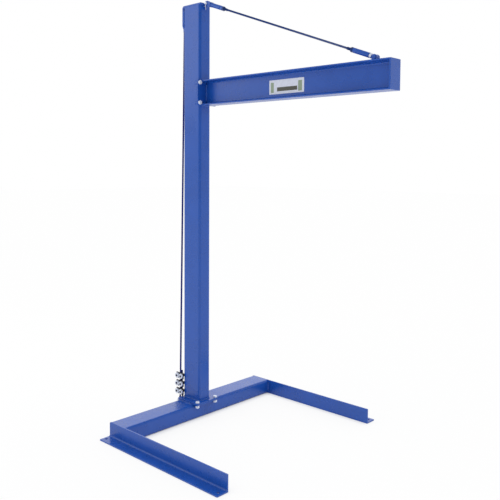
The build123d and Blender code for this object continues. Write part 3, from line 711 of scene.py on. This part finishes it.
class CRANE_OT_welds(bpy.types.Operator):
    """Lays the weld beads of the base, column, boom, strap and lugs"""

    bl_idname = "crane.welds"
    bl_label = "Weld beads"

    # Sizes of the tubes, beam and strap as the frame has them, and where and how wide their beads are
    tube_corner = 12.7
    corner_steps = 9
    flare_at = 8.1
    flare_lean = np.array([0.78, 0.62])
    beam_web = 2.72
    flange_edge = 5.3
    flange_root = 11.2
    root_run = 8.0
    toe_clear = 2.0
    tail_taper = 40.0
    tail_tip = 18.0
    strap_leg = 3.5
    ear_leg = 3.5
    end_clear = 1.0

    def execute(self, context):
        sizes = context.scene.crane_welds
        self.leg = sizes.leg / MM
        self.flare = sizes.flare / MM
        self.ripple = sizes.ripple / MM
        for name, shells in (
            ("base_welds", self.base()),
            ("column_welds", self.column()),
            ("boom_welds", self.boom()),
            ("lug_welds", self.lugs()),
        ):
            make_piece(name, shells, "blue_paint", sharp=60)
        return {"FINISHED"}

    def straight(self, start, end, first, second, leg=None):
        """A bead along a straight line, with the usual leg unless another is given."""
        return bead_shell([start, end], first, second, leg or self.leg, self.ripple)

    def base(self):
        """Beads at the cross tube's ends, the lower foot plate's sides and round the column's foot."""
        low, high = span("cross_tube")
        corner = self.tube_corner
        beads = []
        for side in SIDES:
            y = high[1] * side
            start, end = (high[0], y, low[2] + corner), (high[0], y, high[2] - corner)
            beads.append(self.straight(start, end, X, -side * Y))
            y = span("cross_tube_plate")[1][1] * side
            start, end = (low[0] + corner, y, high[2]), (high[0] - corner, y, high[2])
            beads.append(self.straight(start, end, side * Y, Z))

        low, high = span("column")
        quarter = np.linspace(-math.pi / 2, 0, self.corner_steps)
        hub = np.array([high[0] - corner, low[1] + corner])
        bend = hub + corner * np.column_stack([np.cos(quarter), np.sin(quarter)])
        half = np.concatenate([[[low[0] + corner, low[1]]], bend])
        foot = np.concatenate([half, half[::-1] * (1, -1)])
        foot = np.column_stack([foot, np.full(len(foot), low[2])])

        def outward(line):
            """Directions from the column's core, a rectangle drawn in by the corner, to its skin."""
            core = np.clip(line, low + corner, high - corner)
            away = (line - core) * (1, 1, 0)
            return away / np.linalg.norm(away, axis=1)[:, None]

        beads.append(bead_shell(foot, outward, Z, self.leg, self.ripple))
        return beads

    def column(self):
        """Beads at the seat plate's edges and along the tube's rounded corners behind the seat plate
        and the strap's tail, and at the tail's end."""
        low, high = span("column")
        seat_low, seat_high = span("boom_seat_plate")
        flat = high[1] - self.tube_corner
        flare_y = high[1] - self.flare_at
        strap_low = span("top_strap")[0]
        tail_square = strap_low[2] + self.tail_taper
        beads = [
            self.straight((high[0], -flat, z), (high[0], flat, z), way * Z, X)
            for z, way in ((seat_low[2], -1), (seat_high[2], 1))
        ]
        for side in SIDES:
            lean_x, lean_y = self.flare_lean
            for x, foot, top in (
                (high[0], seat_low[2], seat_high[2]),
                (low[0], tail_square, high[2] - self.tube_corner),
            ):
                along_tube = np.array([-lean_x * np.sign(x), side * lean_y, 0])
                start, end = (x, side * flare_y, foot), (x, side * flare_y, top)
                beads.append(self.straight(start, end, side * Y, along_tube, self.flare))
        tip = self.tail_tip
        start, end = (low[0], -tip, strap_low[2]), (low[0], tip, strap_low[2])
        beads.append(self.straight(start, end, -X, -Z))
        return beads

    def boom(self):
        """Beads round the beam's ends: both sides of the web and the flanges' slopes."""
        low, high = span("boom_beam")
        middle = (low[2] + high[2]) / 2
        depth = (high[2] - low[2]) / 2
        edge = high[1] - self.toe_clear
        root = self.beam_web + self.root_run
        fall = (self.flange_root - self.flange_edge) / (high[1] - self.beam_web)

        def slope(y):
            """A flange's inner face at a distance from the middle: its height over the beam's middle."""
            return depth - self.flange_root + fall * (y - self.beam_web)

        beads = []
        for x, way in ((low[0], X), (high[0], -X)):
            for side in SIDES:
                web = side * self.beam_web
                reach = depth - self.flange_root - self.root_run
                start, end = (x, web, middle - reach), (x, web, middle + reach)
                beads.append(self.straight(start, end, way, side * Y))
                for up in SIDES:
                    start = (x, side * root, middle + up * slope(root))
                    end = (x, side * edge, middle + up * slope(edge))
                    beads.append(self.straight(start, end, way, -up * Z))
        return beads

    def lugs(self):
        """Beads under the strap's front edge, beside the strap's lug and at the boom lug's ears."""
        high = span("column")[1]
        lug_low, lug_high = span("strap_lug")
        ear_low, ear_high = span("boom_lug")
        flat = high[1] - self.tube_corner
        clear = self.end_clear
        beads = []
        for side in SIDES:
            lug = side * lug_high[1]
            start, end = (high[0], lug + side * self.leg, high[2]), (high[0], side * flat, high[2])
            beads.append(self.straight(start, end, X, -Z, self.strap_leg))
            start, end = (high[0], lug, lug_low[2] + clear), (high[0], lug, high[2])
            beads.append(self.straight(start, end, X, side * Y))
            ear = side * ear_high[1]
            start, end = (ear_low[0] + clear, ear, ear_low[2]), (ear_high[0] - clear, ear, ear_low[2])
            beads.append(self.straight(start, end, side * Y, Z, self.ear_leg))
        return beads


# Materials


def add_node(tree, kind, sockets=None, stops=None, **settings):
    """Adds a node, sets its properties, fills or links its inputs, and sets a colour ramp's stops."""
    made = tree.nodes.new(kind)
    for key, value in settings.items():
        setattr(made, key, value)
    for key, value in (sockets or {}).items():
        if isinstance(value, bpy.types.NodeSocket):
            tree.links.new(value, made.inputs[key])
        else:
            made.inputs[key].default_value = value
    if stops:
        elements = made.color_ramp.elements
        for position, colour in stops[1:-1]:
            elements.new(position)
        for element, (position, colour) in zip(elements, stops):
            element.position = position
            element.color = colour
    return made


def new_material(name):
    """A new material's empty node tree."""
    material = bpy.data.materials.new(name)
    material.use_nodes = True
    material.node_tree.nodes.clear()
    return material.node_tree


def per_metre(millimetres):
    """A texture's scale for features of that size."""
    return 1 / (millimetres * MM)


def shade(colour, share):
    """The colour scaled in lightness, with alpha."""
    return tuple(min(1.0, channel * share) for channel in colour) + (1.0,)


# Where nearly all of a noise's values lie
NOISE_LOW = 0.3
NOISE_HIGH = 0.7


def two_tones(colour, low_share, high_share, start=NOISE_LOW, end=NOISE_HIGH):
    """A ramp's stops from one lightness of a colour to another."""
    return (start, shade(colour, low_share)), (end, shade(colour, high_share))


FINISHES = {
    "blue_paint": "sprayed_enamel",
    "dipped_paint": "dipped_enamel",
    "zinc": "zinc_plate",
    "black_iron": "forged_iron",
    "rope": "dressed_wire",
    "label": "printed_vinyl",
}
DIPPED_DEPTH = 0.42


def sprayed_enamel(finish):
    """Gloss enamel sprayed on hot-rolled steel: a shiny skin over clear mid blue."""
    enamel("sprayed_enamel", finish.enamel, shine=0.5)


def dipped_enamel(finish):
    """The same enamel at a share of its lightness and with less shine: a deeper blue."""
    enamel("dipped_enamel", shade(finish.enamel, DIPPED_DEPTH)[:3], shine=0.25)


def enamel(name, colour, shine):
    """Enamel with a fine orange peel and slow drifts in film thickness."""
    clouded_coat(
        name,
        tones=two_tones(colour, 0.94, 1.05),
        cloud=90,
        cloud_detail=3.0,
        roughness={"To Min": 0.24, "To Max": 0.32},
        grain=2.2,
        grain_depth=0.02,
        sockets={"Specular IOR Level": shine},
    )


def zinc_plate(finish):
    """Zinc plating on turned and rolled steel under a milky passive film: a bluish near white with a
    soft sheen and faint clouding."""
    clouded_coat(
        "zinc_plate",
        tones=two_tones(finish.zinc, 0.88, 1.0, end=0.68),
        cloud=7,
        cloud_detail=4.0,
        roughness={"To Min": 0.22, "To Max": 0.36},
        grain=0.8,
        grain_depth=0.03,
        sockets={"Metallic": 0.15},
    )


def clouded_coat(name, tones, cloud, cloud_detail, roughness, grain, grain_depth, sockets):
    """A coat whose tone and roughness drift with slow clouds over a fine-grained skin. The sizes of
    clouds and grain are in millimetres."""
    tree = new_material(name)
    place = add_node(tree, "ShaderNodeTexCoord").outputs["Object"]
    slow = {"Vector": place, "Scale": per_metre(cloud), "Detail": cloud_detail}
    drift = add_node(tree, "ShaderNodeTexNoise", slow).outputs["Fac"]
    tone = add_node(tree, "ShaderNodeValToRGB", {"Fac": drift}, stops=tones).outputs["Color"]
    dulled = {"Value": drift, "From Min": NOISE_LOW, "From Max": NOISE_HIGH, **roughness}
    polish = add_node(tree, "ShaderNodeMapRange", dulled).outputs["Result"]
    fine = {"Vector": place, "Scale": per_metre(grain), "Detail": 2.0}
    skin = add_node(tree, "ShaderNodeTexNoise", fine).outputs["Fac"]
    raised = {"Height": skin, "Strength": 0.1, "Distance": grain_depth * MM}
    normal = add_node(tree, "ShaderNodeBump", raised).outputs["Normal"]
    coat = {"Base Color": tone, "Roughness": polish, "Normal": normal, **sockets}
    shader = add_node(tree, "ShaderNodeBsdfPrincipled", coat)
    add_node(tree, "ShaderNodeOutputMaterial", {"Surface": shader.outputs["BSDF"]})


def forged_iron(finish):
    """Forged iron, dark and satin, with a lumpy forged skin."""
    tree = new_material("forged_iron")
    place = add_node(tree, "ShaderNodeTexCoord").outputs["Object"]
    lumpy = {"Vector": place, "Scale": per_metre(5), "Detail": 3.0}
    lumps = add_node(tree, "ShaderNodeTexNoise", lumpy).outputs["Fac"]
    tones = two_tones(finish.iron, 0.8, 1.15)
    tone = add_node(tree, "ShaderNodeValToRGB", {"Fac": lumps}, stops=tones)
    bump = add_node(tree, "ShaderNodeBump", {"Height": lumps, "Strength": 0.3, "Distance": 0.2 * MM})
    shader = add_node(
        tree,
        "ShaderNodeBsdfPrincipled",
        {"Base Color": tone.outputs["Color"], "Roughness": 0.45, "Normal": bump.outputs["Normal"]},
    )
    add_node(tree, "ShaderNodeOutputMaterial", {"Surface": shader.outputs["BSDF"]})


def dressed_wire(finish):
    """Drawn steel wire under a dark dressing: a dull navy sheen, with painted shade that makes it
    blacker between the wires.
    """
    tree = new_material("dressed_wire")
    place = add_node(tree, "ShaderNodeTexCoord").outputs["UV"]
    lay = {"Vector": place, "Scale": 1.0, "Distortion": 0.6}
    wires = add_node(tree, "ShaderNodeTexWave", lay, bands_direction="X").outputs["Fac"]
    # The wave that raises the wires also darkens the colour between them: painted shade between the
    # wires.
    tones = two_tones(finish.rope, 0.75, 1.1, start=0.0, end=1.0)
    tone = add_node(tree, "ShaderNodeValToRGB", {"Fac": wires}, stops=tones)
    bump = add_node(tree, "ShaderNodeBump", {"Height": wires, "Strength": 0.35, "Distance": 0.2 * MM})
    shader = add_node(
        tree,
        "ShaderNodeBsdfPrincipled",
        {
            "Base Color": tone.outputs["Color"],
            "Roughness": 0.7,
            "Specular IOR Level": 0.15,
            "Normal": bump.outputs["Normal"],
        },
    )
    add_node(tree, "ShaderNodeOutputMaterial", {"Surface": shader.outputs["BSDF"]})


# The panel's blocks, in shares of its size: middle along and up, half width and height, and the ink
PANEL_BLOCKS = (
    (0.02, -0.17, 0.29, 0.14, "band"),
    (-0.41, -0.03, 0.045, 0.36, "bar"),
    (0.39, -0.03, 0.055, 0.36, "bar"),
)


def printed_vinyl(finish):
    """Printed vinyl on a thin plate: a satin pale ground with a plain dark band and two plain bars."""
    tree = new_material("printed_vinyl")
    place = add_node(tree, "ShaderNodeTexCoord").outputs["Object"]
    axes = add_node(tree, "ShaderNodeSeparateXYZ", {0: place}).outputs
    mottled = {"Vector": place, "Scale": per_metre(14), "Detail": 3.0}
    mottle = add_node(tree, "ShaderNodeTexNoise", mottled).outputs["Fac"]
    tones = two_tones(finish.panel, 0.9, 1.0)
    colour = add_node(tree, "ShaderNodeValToRGB", {"Fac": mottle}, stops=tones).outputs["Color"]
    low, high = np.array(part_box("label_plate"))
    middle = (low + high) / 2
    size = high - low
    for across, up, half_width, half_height, ink in PANEL_BLOCKS:
        within = [
            add_node(
                tree,
                "ShaderNodeMath",
                {0: axes[axis], 1: middle[row] + offset * size[row], 2: half * size[row]},
                operation="COMPARE",
            )
            for axis, row, offset, half in (("X", 0, across, half_width), ("Z", 2, up, half_height))
        ]
        both = {0: within[0].outputs[0], 1: within[1].outputs[0]}
        block = add_node(tree, "ShaderNodeMath", both, operation="MULTIPLY").outputs[0]
        printed = {"Factor": block, "A": colour, "B": shade(getattr(finish, ink), 1.0)}
        colour = add_node(tree, "ShaderNodeMix", printed, data_type="RGBA").outputs["Result"]
    shader = add_node(tree, "ShaderNodeBsdfPrincipled", {"Base Color": colour, "Roughness": 0.35})
    add_node(tree, "ShaderNodeOutputMaterial", {"Surface": shader.outputs["BSDF"]})


MAKERS = (sprayed_enamel, dipped_enamel, zinc_plate, forged_iron, dressed_wire, printed_vinyl)


class CRANE_OT_finish(bpy.types.Operator):
    """Gives each node of the frame the finish of its slot"""

    bl_idname = "crane.finish"
    bl_label = "Paint and plating"

    def execute(self, context):
        for make_finish in MAKERS:
            make_finish(context.scene.crane_finish)
        for node, slot in SLOTS.items():
            materials = NODES[node].data.materials
            materials.clear()
            materials.append(bpy.data.materials[FINISHES[slot]])
        return {"FINISHED"}


# Stage


def seen_rays(tree):
    """One for rays that show the background: seen, mirrored or looked at through something."""
    path = add_node(tree, "ShaderNodeLightPath").outputs
    mirrored = {0: path["Is Glossy Ray"], 1: path["Is Transmission Ray"]}
    either = add_node(tree, "ShaderNodeMath", mirrored, operation="MAXIMUM")
    direct = {0: path["Is Camera Ray"], 1: either.outputs["Value"]}
    return add_node(tree, "ShaderNodeMath", direct, operation="MAXIMUM").outputs["Value"]


PAPER = (0.94, 0.94, 0.94, 1)
# The glow's share of the paper's white, and how far the ambient occlusion that paints shade into the
# glow reaches, in millimetres
PAPER_GLOW = 0.85
SHADE_REACH = 40.0


def studio_paper():
    """White studio paper: matt, seen as white through a glow, and darker where the crane shades it.
    Ambient occlusion cuts the glow: painted shade near the crane and in the legs' holes."""
    tree = new_material("studio_paper")
    # Ambient occlusion dims the glow where the crane is near: painted shade beside the legs and in their
    # holes.
    near = {"Distance": SHADE_REACH * MM}
    open_sky = add_node(tree, "ShaderNodeAmbientOcclusion", near).outputs["AO"]
    bright = {0: open_sky, 1: PAPER_GLOW}
    glow_share = add_node(tree, "ShaderNodeMath", bright, operation="MULTIPLY").outputs["Value"]
    shown = {0: seen_rays(tree), 1: glow_share}
    share = add_node(tree, "ShaderNodeMath", shown, operation="MULTIPLY").outputs["Value"]
    paper = add_node(tree, "ShaderNodeBsdfDiffuse", {"Color": PAPER}).outputs["BSDF"]
    white = {"Color": (1, 1, 1, 1), "Strength": 1.0}
    glow = add_node(tree, "ShaderNodeEmission", white).outputs["Emission"]
    mixed = add_node(tree, "ShaderNodeMixShader", {0: share, 1: paper, 2: glow})
    add_node(tree, "ShaderNodeOutputMaterial", {"Surface": mixed.outputs["Shader"]})


# Directions from straight behind the crane, 0, to the photographer's side, 1, and the room's tone there
ROOM_TONES = ((0.12, 1.4), (0.36, 1.0), (0.44, 0.84), (0.56, 0.72), (0.75, 0.36), (0.93, 0.08))
# How the room that a mirror sees dims with height
CEILING = {"From Min": 0.45, "From Max": 0.75, "To Min": 1.0, "To Max": 0.35}
# The level light's strength, and the share of the room's tones in the light that falls on the crane
LIGHT_LEVEL = 1.32
UNEVEN = 0.55


def light_world(scene, studio):
    """A white studio: nearly level light, white where it is seen, and in mirrors dimmer overhead and
    towards the photographer, where the room is unlit."""
    world = bpy.data.worlds.new("studio")
    scene.world = world
    world.use_nodes = True
    tree = world.node_tree
    tree.nodes.clear()
    way = add_node(tree, "ShaderNodeTexCoord").outputs["Generated"]
    towards = Vector((studio.camera_place[0], studio.camera_place[1], 0)).normalized()
    front = add_node(tree, "ShaderNodeVectorMath", {0: way, 1: towards}, operation="DOT_PRODUCT")
    from_behind = {0: front.outputs["Value"], 1: 0.5, 2: 0.5}
    turn = add_node(tree, "ShaderNodeMath", from_behind, operation="MULTIPLY_ADD")
    greys = [(position, (tone, tone, tone, 1)) for position, tone in ROOM_TONES]
    fall = add_node(tree, "ShaderNodeValToRGB", {"Fac": turn.outputs["Value"]}, stops=greys)
    room = fall.outputs["Color"]
    height = add_node(tree, "ShaderNodeSeparateXYZ", {0: way}).outputs["Z"]
    ceiling = add_node(tree, "ShaderNodeMapRange", {"Value": height, **CEILING})
    dimmed = {"Vector": room, "Scale": ceiling.outputs["Result"]}
    walls = add_node(tree, "ShaderNodeVectorMath", dimmed, operation="SCALE").outputs["Vector"]
    path = add_node(tree, "ShaderNodeLightPath").outputs
    level = (LIGHT_LEVEL, LIGHT_LEVEL, LIGHT_LEVEL, 1)
    falling = {"Factor": UNEVEN, "A": level, "B": room}
    felt = add_node(tree, "ShaderNodeMix", falling, data_type="RGBA").outputs["Result"]
    mirrored = {"Factor": path["Is Glossy Ray"], "A": felt, "B": walls}
    glossy = add_node(tree, "ShaderNodeMix", mirrored, data_type="RGBA").outputs["Result"]
    through = {0: path["Is Camera Ray"], 1: path["Is Transmission Ray"]}
    seen = add_node(tree, "ShaderNodeMath", through, operation="MAXIMUM").outputs["Value"]
    shown = {"Factor": seen, "A": glossy, "B": (1, 1, 1, 1)}
    colour = add_node(tree, "ShaderNodeMix", shown, data_type="RGBA").outputs["Result"]
    background = add_node(tree, "ShaderNodeBackground", {"Color": colour, "Strength": 1.0})
    add_node(tree, "ShaderNodeOutputWorld", {"Surface": background.outputs["Background"]})


class CRANE_OT_stage(bpy.types.Operator):
    """Sets up the floor, the light and the camera"""

    bl_idname = "crane.stage"
    bl_label = "Studio"

    sensor_width = 36.0
    farthest_seen = 100.0

    def execute(self, context):
        scene = context.scene
        studio = scene.crane_studio
        scene.view_settings.view_transform = "Standard"
        camera = bpy.data.objects.new("camera", bpy.data.cameras.new("camera"))
        scene.collection.objects.link(camera)
        camera.location = studio.camera_place
        level = Euler((math.pi / 2 - studio.camera_tilt, 0, studio.camera_turn)).to_matrix()
        camera.rotation_euler = (level @ Matrix.Rotation(studio.camera_roll, 3, "Z")).to_euler()
        camera.data.sensor_width = self.sensor_width
        camera.data.lens = self.sensor_width * studio.focal_share
        camera.data.shift_y = studio.shift
        camera.data.clip_end = self.farthest_seen
        scene.camera = camera

        half = studio.floor_size / 2
        floor_mesh = bpy.data.meshes.new("floor")
        corners = [(-half, -half, 0), (half, -half, 0), (half, half, 0), (-half, half, 0)]
        floor_mesh.from_pydata(corners, [], [(0, 1, 2, 3)])
        floor = bpy.data.objects.new("floor", floor_mesh)
        scene.collection.objects.link(floor)
        studio_paper()
        floor_mesh.materials.append(bpy.data.materials["studio_paper"])

        lamp = bpy.data.objects.new("soft_box", bpy.data.lights.new("soft_box", "AREA"))
        scene.collection.objects.link(lamp)
        lamp.data.size = studio.lamp_size
        lamp.data.energy = studio.lamp_power
        lamp.location = studio.lamp_place
        column_top = Vector((0, 0, CAD_BOX[1][2]))
        lamp.rotation_euler = (column_top - lamp.location).to_track_quat("-Z", "Y").to_euler()
        light_world(scene, studio)
        return {"FINISHED"}


class CRANE_PT_panel(bpy.types.Panel):
    """Lists the crane's operators"""

    bl_idname = "CRANE_PT_panel"
    bl_label = "Jib crane"
    bl_space_type = "VIEW_3D"
    bl_region_type = "UI"
    bl_category = "Crane"

    def draw(self, context):
        for operator in OPERATORS:
            self.layout.operator(operator.bl_idname)


OPERATORS = (
    CRANE_OT_finish,
    CRANE_OT_bolts,
    CRANE_OT_tie,
    CRANE_OT_rope,
    CRANE_OT_sheaves,
    CRANE_OT_clips,
    CRANE_OT_welds,
    CRANE_OT_stage,
)
GROUPS = {
    "crane_finish": CraneFinish,
    "crane_rope": CraneRope,
    "crane_welds": CraneWelds,
    "crane_studio": CraneStudio,
}


def register():
    for group in GROUPS.values():
        bpy.utils.register_class(group)
    for name, group in GROUPS.items():
        setattr(bpy.types.Scene, name, PointerProperty(type=group))
    for operator in OPERATORS:
        bpy.utils.register_class(operator)
    bpy.utils.register_class(CRANE_PT_panel)


def unregister():
    bpy.utils.unregister_class(CRANE_PT_panel)
    for operator in reversed(OPERATORS):
        bpy.utils.unregister_class(operator)
    for name, group in reversed(GROUPS.items()):
        delattr(bpy.types.Scene, name)
        bpy.utils.unregister_class(group)


def main():
    register()
    bpy.ops.crane.finish()
    bpy.ops.crane.bolts()
    bpy.ops.crane.tie()
    bpy.ops.crane.rope()
    bpy.ops.crane.sheaves()
    bpy.ops.crane.clips()
    bpy.ops.crane.welds()
    bpy.ops.crane.stage()


if __name__ == "__main__":
    main()
